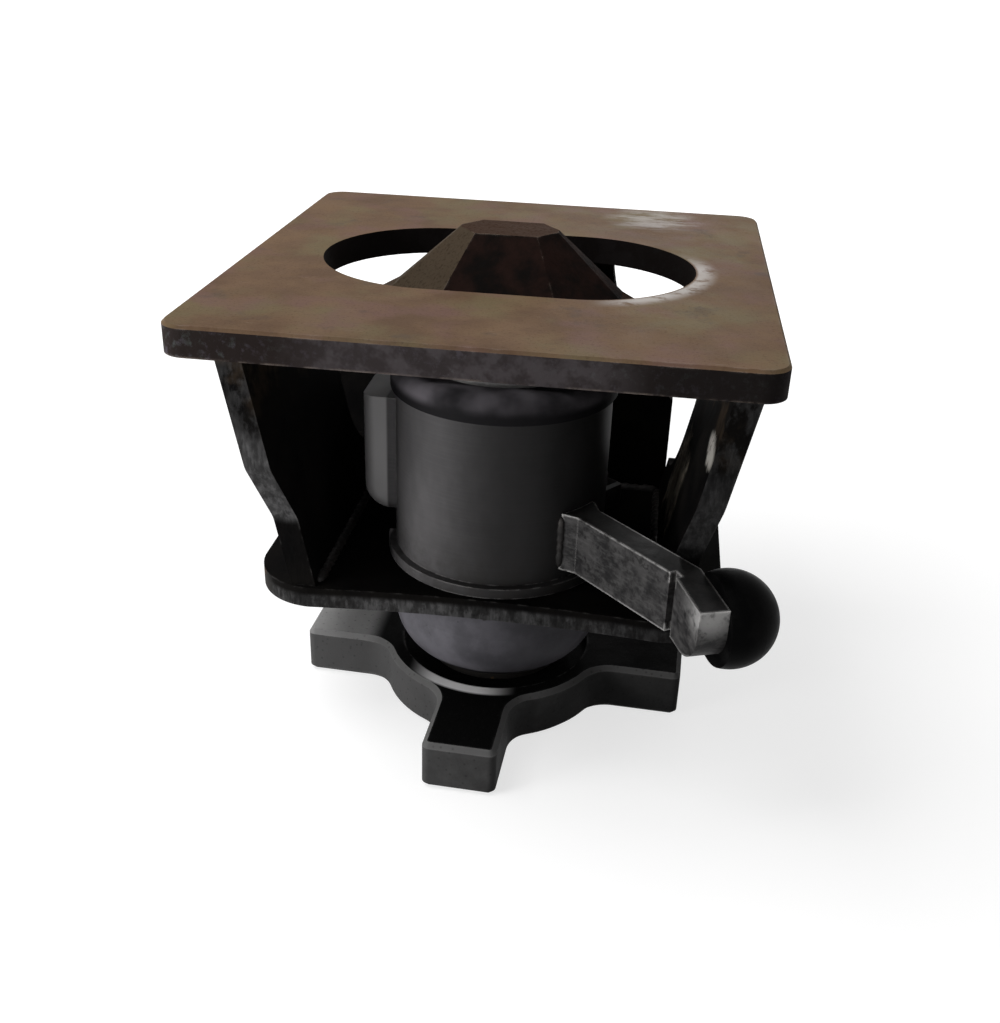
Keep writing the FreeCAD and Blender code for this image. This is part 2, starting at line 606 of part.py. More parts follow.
def lever_knob():
    """Ball knob with a flat seat against the bar and a blind hole for the stud."""
    back = tip_frame()[2]
    ball = Part.makeSphere(KNOB_RADIUS, stud_seat() + back * KNOB_BACK)
    seat = stud_seat() + back * (LEVER_THICKNESS / 2.0)
    in_front = Part.makeCylinder(2 * KNOB_RADIUS, 2 * KNOB_RADIUS, seat, back * -1)
    return spin(ball.cut(in_front).cut(knob_stud_rod()), LEVER_ANGLE)


# ---------------------------------------------------------------- stem

def octagon(length, width, facet, level):
    """Rectangle whose corner facets all have one slope in plan."""
    a, b, d = length / 2.0, width / 2.0, length / 2.0 - facet
    c = b - facet * FACET_SLOPE
    corners = [(a, c), (d, b), (-d, b), (-a, c), (-a, -c), (-d, -b), (d, -b), (a, -c)]
    points = [V(x, y, level) for x, y in corners]
    return Part.makePolygon(points + points[:1])


def lock_stem():
    """Faceted lock head forged in one piece with its shank."""
    top = octagon(HEAD_TOP_LENGTH, HEAD_TOP_WIDTH, HEAD_TOP_FACET, HEAD_RISE)
    waist = octagon(HEAD_WAIST_LENGTH, HEAD_WIDTH, HEAD_WAIST_FACET, WAIST_Z)
    edge = octagon(HEAD_LENGTH, HEAD_WIDTH, HEAD_RIM_FACET, SHOULDER_Z)
    cone = Part.makeLoft([top, waist], True, True)
    shoulder = Part.makeLoft([waist, edge], True, True)
    rim = Part.Face(edge).extrude(V(0, 0, -HEAD_RIM))
    head = cone.fuse([shoulder, rim]).removeSplitter()
    shank = cylinder(SHANK_RADIUS, SHANK_BOTTOM, HEAD_BOTTOM)
    stem = head.fuse(shank).removeSplitter()
    keyway = box(-SHANK_RADIUS - 1, -(SHANK_RADIUS - KEY_BITE - KEYWAY_FLOOR_GAP),
                 -KEY_WIDTH / 2.0 - KEY_PLAY, KEY_WIDTH / 2.0 + KEY_PLAY,
                 SHANK_BOTTOM - 1, KEY_TOP + KEYWAY_FLOOR_GAP)
    bore = cylinder(SCREW_RADIUS + BORE_PLAY, SHANK_BOTTOM - 1, SCREW_TOP + BORE_TOP_PLAY)
    nut_seat = cylinder(NUT_RADIUS, SHANK_BOTTOM - 1, SHANK_BOTTOM + NUT_HEIGHT)
    stem = stem.cut(keyway.fuse([bore, nut_seat]))
    for pin in lift_nut_pins():
        stem = stem.cut(pin)
    return stem


def lift_nut():
    nut = cylinder(NUT_RADIUS, SHANK_BOTTOM, SHANK_BOTTOM + NUT_HEIGHT)
    nut = nut.cut(cylinder(SCREW_RADIUS + RUNNING_FIT, SHANK_BOTTOM - 1,
                           SHANK_BOTTOM + NUT_HEIGHT + 1))
    for pin in lift_nut_pins():
        nut = nut.cut(pin)
    return nut


def lift_nut_pins():
    """Two pins that lock the nut in the shank."""
    level = SHANK_BOTTOM + NUT_HEIGHT / 2.0
    pins = []
    for side in (1, -1):
        outer = V(0, side * (SHANK_RADIUS - NUT_PIN_INSET), level)
        inner = V(0, side * (NUT_RADIUS - NUT_PIN_BITE), level)
        pins.append(rod(NUT_PIN_RADIUS, inner, outer))
    return pins


# ---------------------------------------------------------------- screw and star wheel

def lift_screw():
    """Lift screw with a thrust collar, a keyed journal and a threaded end."""
    journal_top = WASHER_BOTTOM - REST_GAP
    screw = turned([
        (0, WHEEL_BOTTOM + STUD_END_INSET), (STUD_END_RADIUS, WHEEL_BOTTOM + STUD_END_INSET),
        (STUD_END_RADIUS, POCKET_ROOF), (JOURNAL_RADIUS, POCKET_ROOF),
        (JOURNAL_RADIUS, journal_top), (SCREW_RADIUS, journal_top),
        (SCREW_RADIUS, COLLAR_BOTTOM), (BUSH_FLANGE_RADIUS - REST_GAP, COLLAR_BOTTOM),
        (BUSH_FLANGE_RADIUS - REST_GAP, COLLAR_TOP), (SCREW_RADIUS, COLLAR_TOP),
        (SCREW_RADIUS, SCREW_TOP - SCREW_POINT), (SCREW_RADIUS - SCREW_POINT, SCREW_TOP),
        (0, SCREW_TOP)])
    return screw.cut(wheel_key())


def wheel_key():
    """Key between the screw's journal and the wheel's hub."""
    top = WASHER_BOTTOM - REST_GAP
    return spin(box(JOURNAL_RADIUS - WHEEL_KEY_SEAT, JOURNAL_RADIUS + WHEEL_KEY_RISE,
                    -WHEEL_KEY_WIDTH / 2.0, WHEEL_KEY_WIDTH / 2.0,
                    POCKET_ROOF + REST_GAP, top), WHEEL_TURN)


def thrust_washer():
    bore = SCREW_RADIUS + WASHER_BORE_PLAY
    return cylinder(WASHER_RADIUS, WASHER_BOTTOM, WASHER_TOP).cut(
        cylinder(bore, WASHER_BOTTOM - 1, WASHER_TOP + 1))


def star_wheel():
    """Cast hand wheel: a recessed hub and four lobes with hollow flanks."""
    blank = cylinder(WHEEL_HUB_RADIUS, WHEEL_BOTTOM, WHEEL_TOP)
    for index in range(WHEEL_LOBES):
        lobe = box(0, WHEEL_REACH, -LOBE_WIDTH / 2.0, LOBE_WIDTH / 2.0, WHEEL_BOTTOM, WHEEL_TOP)
        lobe = lobe.makeFillet(LOBE_CORNER, upright_edges(lobe, lambda p: p.x > 1))
        blank = blank.fuse(spin(lobe, index * 360.0 / WHEEL_LOBES))
    blank = blank.removeSplitter()
    roots = upright_edges(blank, lambda p: math.hypot(p.x, p.y) < WHEEL_HUB_RADIUS + 0.01)
    blank = blank.makeFillet(LOBE_FILLET, roots)
    blank = blank.makeChamfer(WHEEL_EDGE, flat_edges(blank, WHEEL_TOP) +
                              flat_edges(blank, WHEEL_BOTTOM))
    recess = cylinder(RECESS_RADIUS, WHEEL_TOP - RECESS_DEPTH, WHEEL_TOP + 1)
    bore = cylinder(JOURNAL_RADIUS, WHEEL_BOTTOM - 1, WHEEL_TOP + 1)
    pocket = cylinder(NUT_POCKET_RADIUS, WHEEL_BOTTOM - 1, POCKET_ROOF)
    wheel = blank.cut(recess.fuse([bore, pocket]))
    return spin(wheel, WHEEL_TURN).cut(wheel_key())


def wheel_washer():
    return cylinder(PLAIN_WASHER_RADIUS, POCKET_ROOF - PLAIN_WASHER, POCKET_ROOF).cut(
        cylinder(STUD_END_RADIUS, POCKET_ROOF - PLAIN_WASHER - 1, POCKET_ROOF + 1))


def wheel_nut():
    top = POCKET_ROOF - PLAIN_WASHER
    nut = hexagon(LOCK_NUT_FLATS, top - LOCK_NUT_HEIGHT, top)
    return nut.cut(cylinder(STUD_END_RADIUS, top - LOCK_NUT_HEIGHT - 1, top + 1))


os.makedirs("parts", exist_ok=True)
export("top_plate", top_plate())
export("left_cheek", cheek(-1))
export("right_cheek", cheek(1))
export("rear_wall", rear_wall())
export("base_plate", base_plate())
export("bearing_boss", bearing_boss())
export("flanged_bush", flanged_bush())
export("stop_pin", stop_pin())
export("sleeve_keepers", [spin(keeper(), angle) for angle in KEEPER_ANGLES])
export("keeper_bolts", keeper_bolts())
export("turning_sleeve", sleeve())
export("feather_key", feather_key())
export("key_screws", key_screws())
export("wiper_ring", wiper_ring())
export("lever_bar", lever_bar())
export("knob_stud", knob_stud())
export("lever_knob", lever_knob())
export("lock_stem", lock_stem())
export("lift_nut", lift_nut())
export("lift_nut_pins", lift_nut_pins())
export("lift_screw", lift_screw())
export("thrust_washer", thrust_washer())
export("star_wheel", star_wheel())
export("wheel_key", wheel_key())
export("wheel_washer", wheel_washer())
export("wheel_nut", wheel_nut())
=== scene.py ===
import math

import bmesh
import bpy
from mathutils import Matrix, Vector


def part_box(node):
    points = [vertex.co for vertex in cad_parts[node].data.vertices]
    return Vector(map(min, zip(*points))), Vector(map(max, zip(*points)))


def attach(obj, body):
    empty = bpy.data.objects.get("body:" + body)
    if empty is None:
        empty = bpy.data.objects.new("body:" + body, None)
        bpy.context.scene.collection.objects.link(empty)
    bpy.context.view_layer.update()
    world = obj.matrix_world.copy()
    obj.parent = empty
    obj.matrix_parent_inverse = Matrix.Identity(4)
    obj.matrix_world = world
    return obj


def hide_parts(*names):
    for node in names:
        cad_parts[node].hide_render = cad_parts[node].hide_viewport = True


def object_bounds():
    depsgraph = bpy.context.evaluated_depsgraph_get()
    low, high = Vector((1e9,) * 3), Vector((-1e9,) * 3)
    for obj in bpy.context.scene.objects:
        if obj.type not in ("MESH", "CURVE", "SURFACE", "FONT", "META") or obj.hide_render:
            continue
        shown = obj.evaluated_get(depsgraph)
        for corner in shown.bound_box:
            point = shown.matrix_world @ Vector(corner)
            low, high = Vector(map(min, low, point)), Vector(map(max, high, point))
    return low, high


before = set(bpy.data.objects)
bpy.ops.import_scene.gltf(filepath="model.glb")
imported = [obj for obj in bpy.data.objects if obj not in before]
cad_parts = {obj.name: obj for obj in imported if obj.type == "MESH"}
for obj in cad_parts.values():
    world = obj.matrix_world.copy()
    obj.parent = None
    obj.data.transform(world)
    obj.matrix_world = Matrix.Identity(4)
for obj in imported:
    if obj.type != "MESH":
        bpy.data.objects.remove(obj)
cad_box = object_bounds()
MM = 0.001

# places of the solids that finishes and added pieces go by, in metres
PLATE_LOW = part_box("top_plate")[0][2]
BASE_LOW, BASE_HIGH = (corner[2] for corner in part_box("base_plate"))
WALL_LOW, WALL_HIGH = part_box("rear_wall")
CHEEK_LOW, CHEEK_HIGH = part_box("right_cheek")


# ---------------------------------------------------------------- finishes: the node language

class Strand:
    """One output of a node.  Arithmetic on it adds Math nodes."""

    def __init__(self, board, plug):
        self.board, self.plug = board, plug

    def joined(self, operation, first, second):
        """Strand of a Math node that takes two strands or numbers."""
        return self.board.node("ShaderNodeMath", {"operation": operation}, {0: first, 1: second})

    def __add__(self, other):
        return self.joined("ADD", self, other)

    def __sub__(self, other):
        return self.joined("SUBTRACT", self, other)

    def __rsub__(self, other):
        return self.joined("SUBTRACT", other, self)

    def __mul__(self, other):
        return self.joined("MULTIPLY", self, other)

    __radd__, __rmul__ = __add__, __mul__

    def widest(self, other):
        """The larger of two masks at each place."""
        return self.joined("MAXIMUM", self, other)


class NodeBoard:
    """The nodes of one finish or of the surround."""

    def __init__(self, tree):
        self.tree = tree

    def node(self, kind, settings, sockets, output=0):
        """The one way a node is made: its settings first, then its sockets."""
        made = self.tree.nodes.new(kind)
        for key, value in settings.items():
            setattr(made, key, value)
        for key, value in sockets.items():
            self.feed(made.inputs[key], value)
        return Strand(self, made.outputs[output])

    def feed(self, socket, value):
        """Links a strand to a socket, or sets a plain value on it."""
        if isinstance(value, Strand):
            self.tree.links.new(value.plug, socket)
        else:
            socket.default_value = value

    def seen_directly(self):
        """1 for rays of the camera, of gloss and of clear pieces; 0 for those that light."""
        camera_ray, gloss_ray, clear_ray = (
            self.node("ShaderNodeLightPath", {}, {}, ray)
            for ray in ("Is Camera Ray", "Is Glossy Ray", "Is Transmission Ray"))
        return camera_ray.widest(gloss_ray).widest(clear_ray)


class Finish(NodeBoard):
    """A procedural surface: its principled shader and the nodes that feed it."""

    def __init__(self, name, **fixed):
        """Each fixed value goes to the shader's own socket, whose name has spaces for underscores."""
        self.material = bpy.data.materials.new(name)
        self.material.use_nodes = True
        super().__init__(self.material.node_tree)
        self.shader = self.tree.nodes["Principled BSDF"]
        for socket, value in fixed.items():
            self.shader.inputs[socket.replace("_", " ")].default_value = value
        self.place = self.node("ShaderNodeTexCoord", {}, {}, "Object")

    def grain(self, size, detail=4.0, roughness=0.55, stretch=(1, 1, 1), shift=0.0):
        """Cloudy noise whose patches are about this many millimetres across."""
        where = self.node("ShaderNodeMapping", {}, {
            "Vector": self.place, "Scale": stretch, "Location": (shift, shift * 0.7, shift * 1.3)})
        return self.node("ShaderNodeTexNoise", {}, {
            "Vector": where, "Scale": 1.0 / (size * MM), "Detail": detail, "Roughness": roughness})

    def pits(self, size):
        """Distance to the nearest of many points, scattered this many millimetres apart."""
        return self.node("ShaderNodeTexVoronoi", {}, {"Vector": self.place, "Scale": 1.0 / (size * MM)})

    def span(self, value, low, high):
        """Soft step of a value, from 0 at one limit to 1 at the other."""
        return self.node("ShaderNodeMapRange", {"interpolation_type": "SMOOTHSTEP"}, {
            "Value": value, "From Min": low, "From Max": high})

    def step(self, place, start, end):
        """Soft step along an axis, from 0 to 1 between two marks in millimetres."""
        return self.span(place, start * MM, end * MM)

    def within(self, place, full, none):
        """1 up to `full` millimetres to either side of an axis, 0 past `none`."""
        return self.span(place * place, (none * MM) ** 2, (full * MM) ** 2)

    def around(self, across, along, full, none):
        """1 where two distances together reach `full` millimetres, 0 where they reach `none`."""
        return self.span(across * across + along * along, (none * MM) ** 2, (full * MM) ** 2)

    def axis(self, name):
        """Place along one axis of the part, in metres."""
        return self.node("ShaderNodeSeparateXYZ", {}, {0: self.place}, name)

    def facing(self, name):
        """Part of the piece's own surface direction along one axis."""
        way = self.node("ShaderNodeTexCoord", {}, {}, "Normal")
        return self.node("ShaderNodeSeparateXYZ", {}, {0: way}, name)

    def corners(self, reach):
        """1 within reach of a sharp edge, 0 on the flats."""
        eased = self.node("ShaderNodeBevel", {"samples": 6}, {"Radius": reach * MM})
        true = self.node("ShaderNodeNewGeometry", {}, {}, "Normal")
        match = self.node("ShaderNodeVectorMath", {"operation": "DOT_PRODUCT"},
                          {0: eased, 1: true}, "Value")
        return self.span(match, 0.995, 0.86)

    def hollows(self, reach):
        """1 in tight corners, 0 in the open."""
        open_share = self.node("ShaderNodeAmbientOcclusion", {"samples": 6, "only_local": True},
                               {"Distance": reach * MM}, "AO")
        return self.span(open_share, 0.85, 0.35)

    def blend(self, share, under, over):
        """Colour over another by a share of 0 to 1."""
        return self.node("ShaderNodeMix", {"data_type": "RGBA"}, {
            0: share, 6: under if isinstance(under, Strand) else (*under, 1.0),
            7: over if isinstance(over, Strand) else (*over, 1.0)}, 2)

    def relief(self, height, depth, under=None):
        """Normal of a surface whose height swings by this many millimetres."""
        sockets = {"Height": height, "Strength": 1.0, "Distance": depth * MM}
        if under is not None:
            sockets["Normal"] = under
        return self.node("ShaderNodeBump", {}, sockets)

    def wear(self, color, roughness, metallic, normal):
        """Feeds what changes over the surface, and gives the material."""
        self.feed(self.shader.inputs["Base Color"], color)
        self.feed(self.shader.inputs["Roughness"], roughness)
        self.feed(self.shader.inputs["Metallic"], metallic)
        self.feed(self.shader.inputs["Normal"], normal)
        return self.material


# ---------------------------------------------------------------- finishes of the pieces

# places on the pieces, in millimetres from the lock axis and from the plate's upper face
OPENING_RADIUS = 36.5           # round ends of the plate's opening
OPENING_END = 21.0              # centres of those ends
HEAD_UNDERSIDE = -27.0
SLEEVE_RADIUS = 35.5
LIT_EDGE_TOP = -47.0              # the cheeks' front edges are painted brightest, as lit, from here
LIT_EDGE_END = -74.0              # down to here, the foot of their step
BASE_TOP = BASE_HIGH / MM       # upper face of the bottom plate
BASE_EDGE = (BASE_LOW + BASE_HIGH) / 2 / MM     # middle of its edge
RECESS_RADIUS = 33.0            # recess in the top of the wheel's hub

BARE_STEEL = (0.27, 0.262, 0.255)


def rolled_plate():
    """Hot rolled plate: brown, cloudy, scuffed, with painted glare highlights on the opening's right lip
    and at the rear right; its sawn sides dark and flecked, painted lighter in the middle and darker to the
    right.
    """
    f = Finish("rolled plate", Specular_IOR_Level=0.04)
    x, y = f.axis("X"), f.axis("Y")
    clouds = f.span(f.grain(34, 5, 0.6), 0.35, 0.68)
    patches = f.span(f.grain(9, 6, 0.65, shift=3.1), 0.42, 0.66)
    olive = f.span(f.grain(27, 4, 0.5, shift=14.0), 0.46, 0.64)
    rosy = f.span(f.grain(23, 4, 0.5, shift=21.0), 0.50, 0.66)
    specks = f.span(f.grain(0.9, 3, 0.7), 0.52, 0.70)
    scuffs = f.span(f.grain(2.2, 5, 0.7, (0.16, 1.0, 1.0), 1.7), 0.60, 0.72) * patches
    color = f.blend(clouds, (0.098, 0.057, 0.033), (0.150, 0.092, 0.053))
    color = f.blend(olive * 0.65, color, (0.138, 0.112, 0.058))
    color = f.blend(rosy * 0.65, color, (0.140, 0.078, 0.066))
    color = f.blend(patches * 0.35, color, (0.180, 0.120, 0.074))
    stains = f.span(f.grain(18, 5, 0.6, shift=31.0), 0.58, 0.70)
    color = f.blend(stains * 0.45, color, (0.062, 0.050, 0.044))
    color = f.blend(specks * 0.35, color, (0.060, 0.036, 0.024))
    color = f.blend(scuffs * 0.3, color, (0.28, 0.23, 0.19))
    # painted highlight: a glint on the right end of the opening's lip and a glare spot at the rear right,
    # polished smooth and painted near white
    right_end = (x - OPENING_END * MM, y)
    lip = f.around(*right_end, OPENING_RADIUS + 1.0, OPENING_RADIUS)
    lip = lip * f.around(*right_end, OPENING_RADIUS + 2.0, OPENING_RADIUS + 7.5)
    run_in = f.step(x, 26, 42) * f.step(y, 24, 2)
    lip_polish_and_glint = lip * run_in * f.span(f.grain(5, 4, 0.6, shift=11.0), 0.30, 0.52)
    spot_polish_and_glare = f.around(x - 43 * MM, y - 68 * MM, 4, 20)
    spot_polish_and_glare = spot_polish_and_glare * f.span(f.grain(6, 5, 0.7, (0.35, 1.0, 1.0), 27.0), 0.38, 0.62)
    polish_and_glare = (lip_polish_and_glint * 0.6).widest(spot_polish_and_glare * 0.42)
    side = 1.0 - f.span(f.facing("Z"), 0.4, 0.8)
    flecks = f.span(f.grain(2.6, 5, 0.75, shift=5.0), 0.50, 0.68)
    tints = f.span(f.grain(7, 3, 0.6, shift=17.0), 0.42, 0.60)
    fleck_color = f.blend(tints, (0.058, 0.050, 0.060), (0.048, 0.054, 0.050))
    sheen = f.span(f.grain(38, 3, 0.5, shift=41.0), 0.40, 0.62)
    amid = f.within(x, 28, 50)
    side_color = f.blend(flecks * (0.35 + sheen * 0.65), (0.017, 0.0125, 0.0115), fleck_color)
    # painted sheen: the sawn sides are lighter in the middle
    side_color = f.blend(amid * (0.30 + tints * 0.45), side_color, (0.078, 0.068, 0.072))
    # painted shade: the sawn sides are darker towards the right
    side_color = f.blend(f.step(x, 30, 58) * 0.62, side_color, (0.009, 0.008, 0.008))
    opening_end = OPENING_END + OPENING_RADIUS
    inside = f.within(x, opening_end + 0.7, opening_end + 1.7)
    inside = inside * f.within(y, OPENING_RADIUS + 0.8, OPENING_RADIUS + 1.8)
    side_color = f.blend(inside * 0.85, side_color, (0.006, 0.0045, 0.004))
    # the painted glare highlights go over the brown
    color = f.blend(polish_and_glare, color, (0.52, 0.50, 0.48))
    color = f.blend(side, color, side_color)
    rubbed = f.corners(1.2) * f.span(f.grain(7, 4, 0.6, shift=8.0), 0.44, 0.64) * (1.0 - inside)
    color = f.blend(rubbed * 0.45, color, (0.28, 0.23, 0.20))
    roughness = 0.58 + patches * 0.10 + specks * 0.1 + side * 0.15 - polish_and_glare * 0.16
    dents = f.relief(f.grain(15, 3, 0.5, shift=2.0), 0.12)
    fine = f.relief(f.grain(0.8, 4, 0.7), 0.05, dents)
    return f.wear(color, roughness, (rubbed * 0.3).widest(polish_and_glare * 0.25), fine)


def forged_head():
    """Forging scale: nearly black brown, thinner and browner on top, with painted light on the faces turned
    to the left.
    """
    f = Finish("forged scale", Specular_IOR_Level=0.015)
    clouds = f.span(f.grain(10, 5, 0.6), 0.36, 0.64)
    specks = f.span(f.grain(1.1, 3, 0.7), 0.50, 0.68)
    color = f.blend(clouds, (0.0034, 0.0026, 0.0023), (0.0135, 0.0066, 0.0052))
    # painted light: the faces turned to the left are lighter, as lit from the left
    flank = f.span(f.facing("X") * -1.0, 0.20, 0.55)
    color = f.blend(flank * 0.85, color, (0.060, 0.044, 0.029))
    up = f.span(f.facing("Z"), 0.75, 0.98)
    color = f.blend(up * 0.85, color, (0.038, 0.0175, 0.0085))
    color = f.blend(specks * 0.4, color, (0.010, 0.007, 0.0055))
    shank = 1.0 - f.step(f.axis("Z"), HEAD_UNDERSIDE - 1.5, HEAD_UNDERSIDE)
    color = f.blend(shank, color, (0.16, 0.158, 0.155))
    rubbed = f.corners(1.3) * f.span(f.grain(5, 4, 0.6, shift=4.0), 0.42, 0.62)
    color = f.blend(rubbed * 0.6, color, (0.22, 0.18, 0.15))
    roughness = 0.60 + specks * 0.2 - shank * 0.28
    hammered = f.relief(f.grain(8, 3, 0.5, shift=1.0), 0.4)
    fine = f.relief(f.grain(0.7, 4, 0.7), 0.06, hammered)
    return f.wear(color, roughness, (shank * 0.7).widest(rubbed * 0.4), fine)


def turned_sleeve():
    """Blackened turned steel with fine tool marks round it and an oily film; painted shade on its right
    side and painted light on the pad at its left.
    """
    f = Finish("turned sleeve", Specular_IOR_Level=0.08)
    bands = f.grain(0.5, 2, 0.5, (0.02, 0.02, 1.0))
    film = f.span(f.grain(18, 5, 0.6, (1.0, 1.0, 0.45)), 0.36, 0.68)
    color = f.blend(film, (0.087, 0.084, 0.086), (0.126, 0.121, 0.124))
    color = f.blend(f.span(bands, 0.4, 0.7) * 0.16, color, (0.15, 0.146, 0.146))
    # painted shade: the sleeve goes near black towards its right side, away from the light
    oil = f.step(f.axis("X") + f.grain(9, 4, 0.6, shift=15.0) * (6 * MM), -32, 10)
    color = f.blend(oil * 0.84, color, (0.008, 0.0078, 0.0078))
    # painted light: the pad that stands out at the left is painted pale, as lit
    pad = f.step(f.axis("X"), -SLEEVE_RADIUS - 0.7, -SLEEVE_RADIUS - 1.7)
    color = f.blend(pad * 0.85, color, (0.43, 0.421, 0.425))
    low = 1.0 - f.step(f.axis("Z"), BASE_TOP, BASE_TOP + 21.5)
    stain = low * f.span(f.grain(6, 5, 0.65, shift=6.0), 0.36, 0.62)
    color = f.blend(stain * 0.4, color, (0.024, 0.021, 0.019))
    rubbed = f.corners(0.9) * f.span(f.grain(5, 4, 0.6, shift=2.5), 0.40, 0.60)
    color = f.blend(rubbed * 0.45, color, BARE_STEEL)
    roughness = 0.50 + film * 0.12 + stain * 0.15
    return f.wear(color, roughness, 0.18 - stain * 0.1, f.relief(bands, 0.006))


def dark_wall():
    """Soot black primer inside the housing, dusty outside; grey from wear on the cut front edges, with
    painted light on them, and painted pools of light on the right cheek's inner face.
    """
    f = Finish("dark wall", Specular_IOR_Level=0.012)
    x, y, z = f.axis("X"), f.axis("Y"), f.axis("Z")
    clouds = f.span(f.grain(22, 5, 0.6), 0.35, 0.66)
    color = f.blend(clouds, (0.0022, 0.0021, 0.0022), (0.0060, 0.0054, 0.0050))
    brown = f.span(f.grain(19, 4, 0.55, shift=9.0), 0.50, 0.62) * f.step(z, -50, -24)
    color = f.blend(brown * 0.8, color, (0.036, 0.026, 0.018))
    hand = f.step(x, -1, 1) * 2.0 - 1.0
    across = f.facing("X") * hand
    behind = f.span(f.facing("Y"), 0.6, 0.9) * f.step(y, 40, 50)
    below = f.span(f.facing("Z") * -1.0, 0.6, 0.9)
    outside = f.span(across, 0.6, 0.9).widest(behind).widest(below)
    dust = f.blend(clouds, (0.020, 0.0195, 0.019), (0.038, 0.0365, 0.035))
    rust = f.span(f.grain(12, 6, 0.65, shift=19.0), 0.56, 0.68)
    dust = f.blend(rust * 0.7, dust, (0.060, 0.034, 0.020))
    runs = f.span(f.grain(6, 4, 0.6, (1.0, 1.0, 0.12), 23.0), 0.54, 0.66)
    dust = f.blend(runs * 0.4, dust, (0.010, 0.009, 0.0085))
    color = f.blend(outside, color, dust)
    front = f.span(f.facing("Y") * -1.0, 0.55, 0.85) * f.step(y, 0, -20)
    cut_marks = f.grain(1.6, 4, 0.6, (1.0, 1.0, 0.25), 2.0)
    mottle = f.span(f.grain(5, 5, 0.7, (1.0, 1.0, 0.6), 12.0), 0.40, 0.60)
    # painted light on the grey cut front edges: dim above the kink, brightest on the kinked middle facet,
    # lighter to the left, and on the base edge lighter in the middle
    left, amid = f.step(x, 0, -20), f.within(x, 30, 58)
    upper = f.step(z, LIT_EDGE_TOP, LIT_EDGE_TOP + 7) * mottle * 0.22
    middle = f.step(z, LIT_EDGE_END - 4, LIT_EDGE_END) * f.step(z, LIT_EDGE_TOP + 6, LIT_EDGE_TOP)
    middle = middle * (0.55 + mottle * 0.45) * (0.32 + left * 0.30)
    lower = f.step(z, BASE_EDGE + 1.8, BASE_EDGE) * (0.25 + mottle * 0.55)
    lower = lower * (0.24 + left * 0.24 + amid * 0.30)
    cut_color = f.blend(f.span(cut_marks, 0.38, 0.66), (0.075, 0.074, 0.075), (0.150, 0.148, 0.150))
    color = f.blend(front * (upper + middle + lower), color, cut_color)
    # painted light: a pale pool of light on the right cheek's inner face, behind its front
    inner = f.span(across * -1.0, 0.6, 0.9) * f.step(x, 0, 10)
    ragged = (f.grain(11, 6, 0.7, shift=36.0) - 0.5) * (30 * MM)
    painted_light_patch = inner * f.step(y + ragged, -8, 3) * f.step(y - ragged, 31, 20)
    painted_light_patch = painted_light_patch * f.step(z + ragged, -91, -83) * f.step(z - ragged, -59, -68)
    patch_mottle = f.span(f.grain(7, 5, 0.7, shift=33.0), 0.40, 0.54)
    color = f.blend(painted_light_patch * (0.40 + patch_mottle * 0.4), color, (0.27, 0.235, 0.190))
    # painted light: a bright spot on the right cheek's inner face near its front top
    spot_along, spot_up = (y + 40.5 * MM) * 0.42, z + 40.5 * MM + ragged * 0.3
    painted_light_spot = inner * f.around(spot_along, spot_up, 2.2, 5.2)
    color = f.blend(painted_light_spot * (0.1 + patch_mottle * 0.7), color, (0.50, 0.475, 0.435))
    rubbed = f.corners(1.1) * f.span(f.grain(5, 4, 0.6, shift=3.0), 0.46, 0.64)
    color = f.blend(rubbed * (0.2 + outside * 0.4), color, (0.13, 0.125, 0.12))
    roughness = 0.66 + clouds * 0.14 - front * 0.08
    orange_peel = f.relief(f.grain(2.4, 4, 0.55), 0.07)
    scored = f.relief(cut_marks * front, 0.2, orange_peel)
    return f.wear(color, roughness, rubbed * 0.2, scored)


def turned_boss():
    """Dull grey turned boss, with painted shade in a black band where it meets the wheel and on its right
    side, and dark dirt spots.
    """
    f = Finish("turned boss", Specular_IOR_Level=0.1)
    bands = f.grain(0.7, 2, 0.5, (0.02, 0.02, 1.0))
    film = f.span(f.grain(12, 5, 0.6), 0.36, 0.66)
    color = f.blend(film, (0.072, 0.070, 0.079), (0.114, 0.110, 0.124))
    # painted shade: a black band at the foot, where the boss meets the wheel
    grease = f.step(f.axis("Z") + f.grain(7, 4, 0.6, shift=3.0) * (2 * MM), -129.5, -131.5)
    # painted shade: darker towards the right side
    oil = f.step(f.axis("X"), -14, 20) * 0.5
    dirt_and_shade = grease.widest(f.span(f.grain(4, 5, 0.7), 0.62, 0.74) * 0.6).widest(oil)
    color = f.blend(dirt_and_shade, color, (0.004, 0.0036, 0.0036))
    return f.wear(color, 0.48 + film * 0.14, 0.12 - grease * 0.12, f.relief(bands, 0.008))


